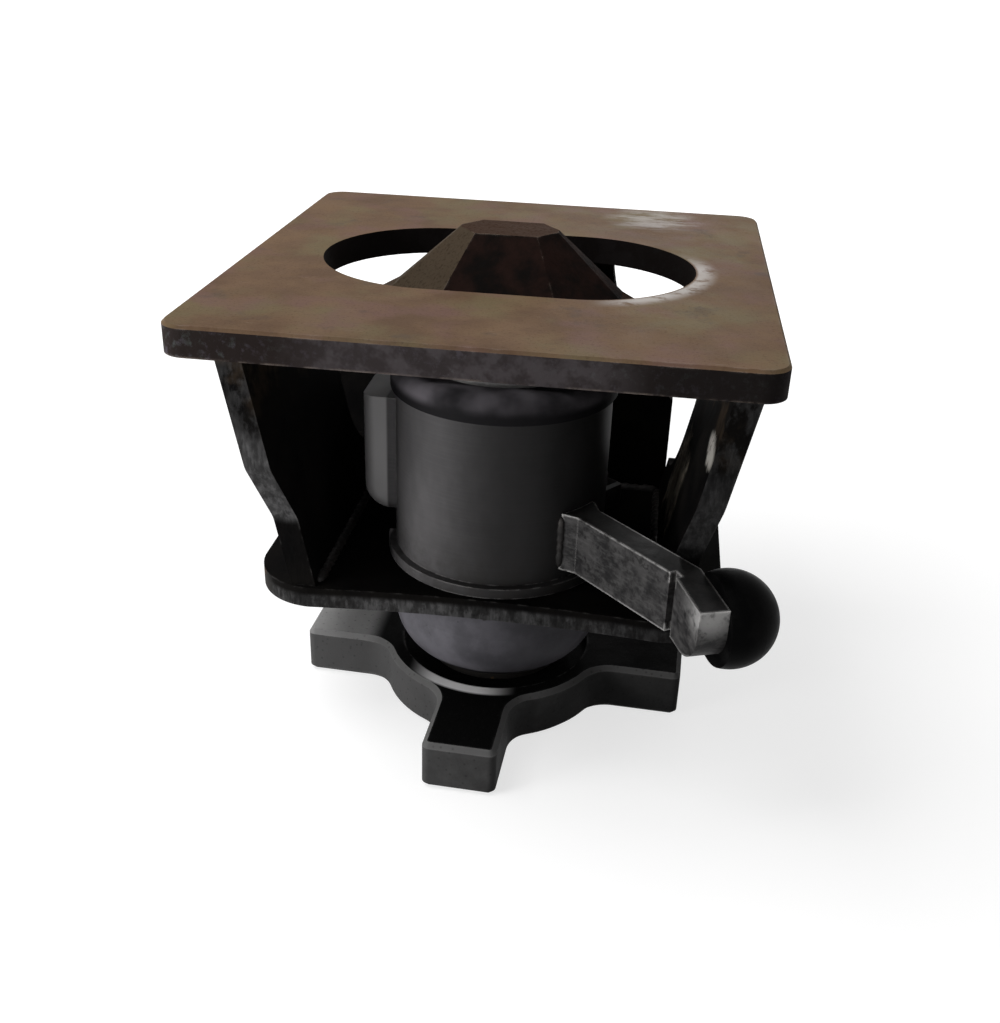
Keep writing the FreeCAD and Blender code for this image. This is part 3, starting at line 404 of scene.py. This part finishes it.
def cut_bar():
    """Lever bar: dark rolled faces, its edges bright from handling, and a painted highlight on the tip's
    upper end.
    """
    f = Finish("lever bar", Specular_IOR_Level=0.1)
    clouds = f.span(f.grain(6, 5, 0.65), 0.38, 0.64)
    streaks = f.span(f.grain(1.4, 4, 0.6, (0.3, 0.3, 1.0)), 0.45, 0.66)
    color = f.blend(clouds, (0.011, 0.0105, 0.011), (0.054, 0.052, 0.052))
    color = f.blend(streaks * 0.3, color, (0.110, 0.107, 0.105))
    top = f.span(f.facing("Z"), 0.6, 0.9)
    color = f.blend(top * 0.72, color, (0.014, 0.0133, 0.0133))
    rubbed = f.corners(1.5) * f.span(f.grain(6, 4, 0.6, shift=2.0), 0.26, 0.48)
    x, z = f.axis("X"), f.axis("Z")
    stud = f.step(x, 54, 57) * f.step(z, -89.5, -88.5) * f.step(z, -75, -76)
    rubbed = rubbed * (1.0 - stud)
    color = f.blend(rubbed * 0.75, color, (0.46, 0.45, 0.44))
    grime = f.span(f.grain(4, 5, 0.7, shift=7.0), 0.54, 0.66)
    color = f.blend(grime * 0.75, color, (0.008, 0.0075, 0.0075))
    # painted highlight: a bright streak on the upper end of the bent tip
    highlight_mottle = f.span(f.grain(4, 4, 0.6, shift=4.0), 0.30, 0.56)
    painted_tip_highlight = f.step(x, 60, 68) * f.step(z, -84.5, -75) * (1.0 - top) * highlight_mottle
    color = f.blend(painted_tip_highlight * 0.75, color, (0.56, 0.55, 0.54))
    roughness = 0.48 + clouds * 0.12 - rubbed * 0.14
    dented = f.relief(f.grain(11, 2, 0.5), 0.2)
    return f.wear(color, roughness, 0.1 + rubbed * 0.4, f.relief(f.grain(1.0, 4, 0.65), 0.05, dented))


def cast_wheel():
    """Sand cast iron: sides dull grey, painted lighter to the left and darker to the right; the tops
    painted black as shade, except the left lobe's end painted light; its rim rubbed bright, more so on the
    left as painted light, with a painted highlight on the front of the recess's rim.
    """
    f = Finish("cast wheel", Specular_IOR_Level=0.02)
    x, y = f.axis("X"), f.axis("Y")
    clouds = f.span(f.grain(16, 5, 0.6), 0.35, 0.66)
    color = f.blend(clouds, (0.040, 0.0395, 0.0395), (0.066, 0.065, 0.065))
    top = f.span(f.facing("Z"), 0.55, 0.9)
    # painted light and shade: the sides are lighter towards the left and darker towards the right
    color = f.blend(f.step(x, 12, -45) * 0.7, color, (0.088, 0.087, 0.087))
    color = f.blend(f.step(x, 16, 50) * 0.6, color, (0.016, 0.016, 0.016))
    # painted light and shade on the tops: painted light grey, then painted black as shade except at the
    # left lobe's end
    color = f.blend(top * 0.85, color, (0.40, 0.396, 0.393))
    oil = top * f.step(x, -47, -39.5)
    color = f.blend(oil, color, (0.0026, 0.0026, 0.0026))
    pores = f.span(f.pits(2.1), 0.30, 0.0)
    color = f.blend(pores * 0.4, color, (0.012, 0.012, 0.012))
    rim = f.corners(1.6) * f.span(f.grain(7, 4, 0.6, shift=5.0), 0.40, 0.62)
    # painted light: the rubbed rim is brighter on the left
    rim = rim * (0.35 + f.step(x, -30, -45) * 0.65)
    color = f.blend(rim * 0.7, color, (0.25, 0.247, 0.244))
    # painted highlight: a bright crescent on the front of the recess's rim
    ring = f.around(x, y, RECESS_RADIUS + 0.6, RECESS_RADIUS - 0.2)
    ring = ring * f.around(x, y, RECESS_RADIUS + 3.4, RECESS_RADIUS + 4.8)
    ring = ring * top * f.step(x, 12, -2) * f.step(x, -27, -16) * f.step(y, -14, -22)
    color = f.blend(ring * 0.95, color, (0.86, 0.85, 0.85))
    roughness = 0.58 + clouds * 0.14 - rim * 0.12
    skin = f.relief(f.grain(1.3, 5, 0.7), 0.12, f.relief(f.grain(13, 3, 0.5, shift=3.0), 0.4))
    return f.wear(color, roughness, rim * 0.3, skin)


def moulded_knob():
    """Black thermoset, dulled by handling, with fine scratches."""
    f = Finish("moulded knob", Specular_IOR_Level=0.015)
    haze = f.span(f.grain(8, 4, 0.6), 0.38, 0.66)
    hairs = f.span(f.grain(0.9, 3, 0.6, (0.12, 1.0, 1.0)), 0.60, 0.68)
    color = f.blend(haze, (0.0016, 0.0016, 0.0017), (0.0044, 0.0044, 0.0044))
    roughness = 0.36 + haze * 0.16 + hairs * 0.15
    return f.wear(color, roughness, 0.0, f.relief(hairs, 0.01))


def wiper_rubber():
    """Black rubber, matt, dusty on its bulge, whose top is also painted lighter as lit."""
    f = Finish("wiper rubber", Specular_IOR_Level=0.05)
    # dust and painted light: the top of the bulge is paler
    dust_and_painted_light = f.span(f.grain(16, 3, 0.45), 0.28, 0.74) * f.step(f.axis("Z"), -38.5, -35)
    color = f.blend(dust_and_painted_light, (0.0085, 0.0080, 0.009), (0.104, 0.096, 0.106))
    return f.wear(color, 0.62 + dust_and_painted_light * 0.2, 0.0, f.relief(f.grain(0.9, 4, 0.7), 0.04))


def plain_steel():
    """Small steel pieces: zinc grey with dark corners."""
    f = Finish("small steel")
    film = f.span(f.grain(4, 4, 0.6), 0.38, 0.66)
    color = f.blend(film, (0.12, 0.12, 0.12), (0.22, 0.22, 0.215))
    color = f.blend(f.hollows(2) * 0.7, color, (0.02, 0.018, 0.016))
    return f.wear(color, 0.36 + film * 0.16, 0.85, f.relief(f.grain(0.5, 3, 0.6), 0.012))


def oiled_steel():
    """Small steel pieces inside the housing, under black oil and dust."""
    f = Finish("oiled steel", Specular_IOR_Level=0.2)
    film = f.span(f.grain(4, 4, 0.6), 0.38, 0.66)
    color = f.blend(film, (0.010, 0.0095, 0.009), (0.026, 0.025, 0.0245))
    rubbed = f.corners(0.6) * f.span(f.grain(3, 4, 0.6, shift=3.0), 0.42, 0.60)
    color = f.blend(rubbed * 0.5, color, (0.16, 0.157, 0.153))
    return f.wear(color, 0.42 + film * 0.16, rubbed * 0.5, f.relief(f.grain(0.5, 3, 0.6), 0.012))


def greased_screw():
    """Turned screw with brown grease in its thread."""
    f = Finish("greased screw", Coat_Roughness=0.15)
    grease = f.span(f.grain(5, 5, 0.6, (1.0, 1.0, 0.6)), 0.44, 0.62)
    color = f.blend(grease, (0.42, 0.41, 0.40), (0.09, 0.055, 0.02))
    f.feed(f.shader.inputs["Coat Weight"], grease * 0.6)
    return f.wear(color, 0.28 + grease * 0.2, 0.95 - grease * 0.6,
                  f.relief(f.grain(0.4, 2, 0.5, (0.05, 0.05, 1.0)), 0.01))


def turned_bronze():
    """Bearing bronze, turned, a little tarnished."""
    f = Finish("turned bronze")
    tarnish = f.span(f.grain(6, 5, 0.6), 0.38, 0.66)
    color = f.blend(tarnish, (0.52, 0.33, 0.14), (0.24, 0.14, 0.06))
    rings = f.grain(0.45, 2, 0.5, (0.04, 0.04, 1.0))
    return f.wear(color, 0.26 + tarnish * 0.2, 1.0, f.relief(rings, 0.01))


def oily_bronze():
    """Bronze washer under black oil and dust, bare in a few spots."""
    f = Finish("oily bronze", Specular_IOR_Level=0.3)
    bare = f.span(f.grain(3, 4, 0.6), 0.62, 0.72)
    color = f.blend(bare * 0.5, (0.010, 0.009, 0.008), (0.16, 0.10, 0.045))
    return f.wear(color, 0.45 + bare * 0.1, bare * 0.6, f.relief(f.grain(0.8, 3, 0.6), 0.03))


def weld_metal():
    """Weld bead with its heat tint, sooted like the walls beside it."""
    f = Finish("weld metal", Specular_IOR_Level=0.3)
    soot = f.span(f.grain(7, 5, 0.65), 0.34, 0.58)
    color = f.blend(soot, (0.034, 0.030, 0.028), (0.007, 0.0063, 0.006))
    return f.wear(color, 0.44 + soot * 0.2, 0.4 - soot * 0.3, f.relief(f.grain(1.0, 4, 0.6), 0.06))


# ---------------------------------------------------------------- meshes of the small pieces

def piece(name, mesh, body, finish, smooth=True):
    """A finished piece that rides on a body."""
    made = bpy.data.objects.new(name, mesh)
    bpy.context.scene.collection.objects.link(made)
    mesh.materials.clear()
    mesh.materials.append(finish)
    if smooth:
        mesh.shade_smooth()
    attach(made, body)
    return made


def mesh_of(name, build):
    """Mesh filled by a function that works on an empty bmesh."""
    made = bpy.data.meshes.new(name)
    work = bmesh.new()
    build(work)
    bmesh.ops.recalc_face_normals(work, faces=work.faces)
    work.to_mesh(made)
    work.free()
    return made


def skin_rings(work, rings, closed_run, cap_ends):
    """Faces between rings of points; the run of rings may close on itself."""
    rows = [[work.verts.new(p) for p in ring] for ring in rings]
    pairs = list(zip(rows, rows[1:])) + ([(rows[-1], rows[0])] if closed_run else [])
    for a, b in pairs:
        for i in range(len(a)):
            j = (i + 1) % len(a)
            work.faces.new((a[i], a[j], b[j], b[i]))
    if cap_ends:
        work.faces.new(rows[0])
        work.faces.new(list(reversed(rows[-1])))


def bead_rings(points, radius, closed):
    """Round sections along a run, swollen and pinched by the weld's ripples."""
    count = len(points)
    rings = []
    for i, point in enumerate(points):
        ahead = points[(i + 1) % count] if closed or i + 1 < count else point
        behind = points[i - 1] if closed or i > 0 else point
        along = (ahead - behind).normalized()
        side = along.cross(Vector((0.31, 0.22, 0.92))).normalized()
        lift = side.cross(along)
        ripple = 1.0 + 0.13 * math.sin(i * 1.9) + 0.07 * math.sin(i * 0.53 + 1.0)
        ends = 1.0 if closed else min(1.0, 0.35 + 0.3 * min(i, count - 1 - i))
        r = radius * ripple * ends
        rings.append([point + (side * math.cos(a) + lift * math.sin(a)) * r
                      for a in (k * math.pi / 4 for k in range(8))])
    return rings


def circle(radius, level, count):
    """Points round the lock axis at one level."""
    return [Vector((radius * math.cos(a), radius * math.sin(a), level))
            for a in (k * 2 * math.pi / count for k in range(count))]


def run_between(start, end, step=1.1 * MM):
    """Points of a straight run, one for each step."""
    start, end = Vector(start), Vector(end)
    count = max(4, int((end - start).length / step))
    return [start.lerp(end, i / count) for i in range(count + 1)]


def weld(name, runs, radius, closed=False, body="housing"):
    """One piece of several beads on a body."""
    def build(work):
        for points in runs:
            skin_rings(work, bead_rings(points, radius, closed), closed, not closed)
    return piece(name, mesh_of(name, build), body, FINISH["weld_metal"])


# ---------------------------------------------------------------- dressing the carried-over pieces

FINISH = {make.__name__: make() for make in (
    rolled_plate, forged_head, turned_sleeve, dark_wall, turned_boss, cut_bar, cast_wheel,
    moulded_knob, wiper_rubber, plain_steel, oiled_steel, greased_screw, turned_bronze,
    oily_bronze, weld_metal)}

WEARS = {
    "rolled_plate": ["top_plate"],
    "forged_head": ["lock_stem"],
    "turned_sleeve": ["turning_sleeve"],
    "dark_wall": ["left_cheek", "right_cheek", "rear_wall", "base_plate"],
    "turned_boss": ["bearing_boss"],
    "cut_bar": ["lever_bar", "knob_stud"],
    "cast_wheel": ["star_wheel"],
    "moulded_knob": ["lever_knob"],
    "wiper_rubber": ["wiper_ring"],
    "greased_screw": ["lift_screw"],
    "turned_bronze": ["flanged_bush", "lift_nut"],
    "oily_bronze": ["thrust_washer"],
    "oiled_steel": ["stop_pin", "sleeve_keepers", "keeper_bolts"],
    "plain_steel": ["feather_key", "key_screws", "lift_nut_pins", "wheel_key", "wheel_washer", "wheel_nut"],
}


def dress_nodes():
    """Each carried-over solid gets its finish."""
    for finish, nodes in WEARS.items():
        for node in nodes:
            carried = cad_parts[node]
            carried.data.materials.clear()
            carried.data.materials.append(FINISH[finish])


# ---------------------------------------------------------------- welds of the housing

def housing_welds():
    """Fillet beads where the walls meet the plate and the base plate, and round the boss."""
    thick = 8.0 * MM                                    # of the cheeks
    top_inner = CHEEK_HIGH[0] - thick
    foot_outer, foot_inner = CHEEK_LOW[0] + thick, CHEEK_LOW[0]
    top_front, top_back = CHEEK_LOW[1] + 2 * MM, 44.0 * MM
    foot_front, foot_back = -37.5 * MM, CHEEK_HIGH[1] - 1 * MM
    runs = []
    for side in (1, -1):
        runs.append(run_between((side * top_inner, top_front, PLATE_LOW),
                                (side * top_inner, top_back, PLATE_LOW)))
        for x in (foot_outer, foot_inner):
            runs.append(run_between((side * x, foot_front, BASE_HIGH), (side * x, foot_back, BASE_HIGH)))
    weld("cheek_welds", runs, 2.1 * MM)

    top_half = 29.0 * MM                                # the rear wall is narrow at the plate
    runs = [run_between((-top_half, y, PLATE_LOW), (top_half, y, PLATE_LOW))
            for y in (WALL_LOW[1], WALL_HIGH[1])]
    runs.append(run_between((WALL_LOW[0] + 2 * MM, WALL_LOW[1], BASE_HIGH),
                            (WALL_HIGH[0] - 2 * MM, WALL_LOW[1], BASE_HIGH)))
    weld("wall_welds", runs, 2.0 * MM)

    boss_radius = 35.5 * MM
    weld("boss_weld", [circle(boss_radius, BASE_LOW, 190)], 2.0 * MM, True)


def lever_welds():
    """Beads that join the lever's flared root to the sleeve."""
    lever_low, lever_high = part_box("lever_bar")
    sleeve_radius, turn = SLEEVE_RADIUS * MM, math.radians(-45.0)
    offset, half_root = 4.0 * MM, 7.0 * MM              # middle plane of the bar, half its root
    runs = []
    for y in (offset - half_root, offset + half_root):
        x = math.sqrt(sleeve_radius ** 2 - y ** 2)
        foot = Matrix.Rotation(turn, 3, "Z") @ Vector((x, y, 0.0))
        runs.append(run_between((foot.x, foot.y, lever_low[2] + 1 * MM),
                                (foot.x, foot.y, lever_high[2] - 1 * MM), 0.9 * MM))
    weld("lever_welds", runs, 1.3 * MM, body="sleeve")


def rear_wing():
    """Flame cut wing that closes the corner between rear wall and left cheek."""
    near, far = WALL_LOW[1] + 0.05 * MM, WALL_HIGH[1] - 0.8 * MM
    inner = WALL_LOW[0] + 0.5 * MM
    foot, outer, top = -70.5 * MM, -72.2 * MM, -56.0 * MM
    corner, corner_steps = 6.0 * MM, 6
    outline = [(inner, BASE_HIGH), (foot, BASE_HIGH), (outer, top - 10 * MM)]
    for k in range(corner_steps):
        a = math.radians(180 - k * 90 / (corner_steps - 1))
        outline.append((outer + corner * (1 + math.cos(a)), top - corner * (1 - math.sin(a))))
    outline.append((inner, top))

    def build(work):
        rows = [[work.verts.new((x, y, z)) for x, z in outline] for y in (near, far)]
        for k in range(len(outline)):
            n = (k + 1) % len(outline)
            work.faces.new((rows[0][k], rows[0][n], rows[1][n], rows[1][k]))
        work.faces.new(rows[0])
        work.faces.new(list(reversed(rows[1])))
        rims = [edge for edge in work.edges if edge.verts[0].co.y == edge.verts[1].co.y]
        bmesh.ops.bevel(work, geom=rims, offset=0.4 * MM, segments=2, affect="EDGES")
    piece("rear_wing", mesh_of("rear_wing", build), "housing",
          FINISH["dark_wall"], False)
    weld("rear_wing_welds", [
        run_between((inner, far, BASE_HIGH + 1 * MM), (inner, far, top - 1 * MM)),
        run_between((foot + 1 * MM, far, BASE_HIGH), (inner - 1 * MM, far, BASE_HIGH))], 1.2 * MM)


# ---------------------------------------------------------------- screws and the lift thread

def lift_thread():
    """The lift screw with its two-start, right-hand trapezoidal thread."""
    low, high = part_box("lift_screw")
    washer_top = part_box("wheel_washer")[1][2]
    neck_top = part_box("thrust_washer")[0][2] - 0.3 * MM
    collar_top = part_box("lock_stem")[0][2] - 0.6 * MM
    collar_low = collar_top - 3.6 * MM
    collar_radius = high[0]
    centre, end_radius, neck_radius = 0.6 * MM, 8.0 * MM, 10.0 * MM
    chamfer = 0.8 * MM
    crest, root, lead, starts = 12.0 * MM, 10.6 * MM, 10.0 * MM, 2
    half_crest, flank = 0.18, 0.14                      # shares of the pitch
    run_out, point = 3.0 * MM, 2.0 * MM                 # lengths at the collar and at the tip
    around, rise_step = 56, 0.55 * MM

    def thread_radius(angle, z):
        phase = (starts * (z / lead - angle / (2 * math.pi))) % 1.0
        depth = min(max((abs(phase - 0.5) - half_crest) / flank, 0.0), 1.0)
        begun = min(max((z - collar_top) / run_out, 0.0), 1.0)
        left = min(max((high[2] - z) / point, 0.0), 1.0)
        return crest - (crest - root) * depth * begun - (1.0 - left) * point * (1.0 - depth)

    def thread_ring(z):
        turns = [k * 2 * math.pi / around for k in range(around)]
        return [(thread_radius(a, z) * math.cos(a), thread_radius(a, z) * math.sin(a), z) for a in turns]

    plain = [(centre, low[2]), (end_radius - chamfer, low[2]), (end_radius, low[2] + chamfer),
             (end_radius, washer_top), (neck_radius, washer_top), (neck_radius, neck_top),
             (crest, neck_top), (crest, collar_low), (collar_radius, collar_low),
             (collar_radius, collar_top)]
    steps = int((high[2] - collar_top) / rise_step)

    def build(work):
        rings = [circle(radius, z, around) for radius, z in plain]
        rings += [thread_ring(collar_top + (high[2] - collar_top) * i / steps) for i in range(steps + 1)]
        skin_rings(work, rings, False, True)
    made = piece("lift_screw_threaded", mesh_of("lift_screw_threaded", build), "wheel",
                 FINISH["greased_screw"], False)
    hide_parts("lift_screw")


def key_screw_heads():
    """Socket head screws, sunk in the sleeve's pad."""
    low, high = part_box("key_screws")
    face, back = low[0], high[0]
    head, shank, socket = 4.4 * MM, 2.5 * MM, 2.3 * MM  # radii
    head_height, socket_depth, drill_point = 4.0 * MM, 2.0 * MM, 0.4 * MM
    head_chamfer, socket_chamfer, around = 0.5 * MM, 0.2 * MM, 36
    corner = math.pi / 6                                # half of a hexagon's side, seen from its centre

    def ring(x, radius, level, hexagon=False):
        points = []
        for k in range(around):
            a = 2 * math.pi * k / around
            reach = radius * math.cos(corner) / math.cos(a % (2 * corner) - corner) if hexagon else radius
            points.append((x, reach * math.cos(a), level + reach * math.sin(a)))
        return points

    def build(work):
        for level in (low[2] + head, high[2] - head):
            skin_rings(work, [
                ring(face + socket_depth + drill_point, socket * 0.02, level),
                ring(face + socket_depth, socket, level, True),
                ring(face + socket_chamfer, socket, level, True),
                ring(face, socket * 1.12, level),
                ring(face, head - head_chamfer, level),
                ring(face + head_chamfer, head, level),
                ring(face + head_height, head, level),
                ring(face + head_height, shank, level),
                ring(back, shank, level)], False, True)
    made = piece("key_screw_heads", mesh_of("key_screw_heads", build), "sleeve",
                 FINISH["plain_steel"], False)
    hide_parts("key_screws")


# ---------------------------------------------------------------- camera, light and floor

def camera():
    """Viewpoint in front of the open side, above the plate, with a slight roll."""
    eye = Vector((44.0, -353.5, 94.3)) * MM
    down, aside, roll = (math.radians(angle) for angle in (26.99, 7.1, 2.0))
    data = bpy.data.cameras.new("viewpoint")
    data.sensor_width = 36.0
    data.lens = 41.0
    data.clip_start = 10 * MM
    made = bpy.data.objects.new("viewpoint", data)
    bpy.context.scene.collection.objects.link(made)
    made.matrix_world = (
        Matrix.Translation(eye) @ Matrix.Rotation(aside, 4, "Z")
        @ Matrix.Rotation(math.pi / 2 - down, 4, "X") @ Matrix.Rotation(roll, 4, "Z"))
    bpy.context.scene.camera = made


def softbox(name, place, size, power, aim=(0, 0, -0.05)):
    """Square lamp that faces a point of the object."""
    data = bpy.data.lights.new(name, "AREA")
    data.shape = "SQUARE"
    data.size = size
    data.energy = power
    made = bpy.data.objects.new(name, data)
    bpy.context.scene.collection.objects.link(made)
    made.location = place
    made.rotation_euler = (Vector(aim) - Vector(place)).to_track_quat("-Z", "Y").to_euler()


def surround():
    """White where it is seen directly or mirrored, and a plain soft light otherwise."""
    world = bpy.data.worlds.new("surround")
    bpy.context.scene.world = world
    world.use_nodes = True
    board = NodeBoard(world.node_tree)
    lit, seen = (board.node("ShaderNodeBackground", {}, {"Color": (1, 1, 1, 1), "Strength": strength})
                 for strength in (0.22, 1.0))
    both = board.node("ShaderNodeMixShader", {}, {0: board.seen_directly(), 1: lit, 2: seen})
    board.feed(board.tree.nodes["World Output"].inputs["Surface"], both)


def floor():
    """Pale floor just under the wheel, whiter away from the object."""
    half, level = 6.0, cad_box[0][2] - 0.1 * MM

    def build(work):
        work.faces.new([work.verts.new((x * half, y * half, level))
                        for x, y in ((-1, -1), (1, -1), (1, 1), (-1, 1))])
    mesh = mesh_of("floor", build)
    made = bpy.data.objects.new("floor", mesh)
    bpy.context.scene.collection.objects.link(made)
    f = Finish("pale floor", Base_Color=(0.40, 0.40, 0.40, 1), Roughness=0.9, Specular_IOR_Level=0.1)
    away = f.around(f.axis("X"), f.axis("Y"), 500, 120)
    f.feed(f.shader.inputs["Emission Color"], f.blend(away, (0.70, 0.70, 0.70), (1.0, 1.0, 1.0)))
    f.feed(f.shader.inputs["Emission Strength"], f.seen_directly())
    mesh.materials.append(f.material)


def studio():
    """Surround, floor and plain soft lamps."""
    surround()
    floor()
    softbox("overhead", (-0.55, -0.15, 1.1), 0.7, 13.5)
    softbox("side", (-0.33, -0.26, -0.06), 0.16, 1.12, (0.0, 0.0, -0.09))
    softbox("rear", (0.04, 1.2, 0.27), 0.15, 0.8)
    bpy.context.scene.view_settings.view_transform = "Standard"


dress_nodes()
housing_welds()
rear_wing()
lever_welds()
lift_thread()
key_screw_heads()
camera()
studio()
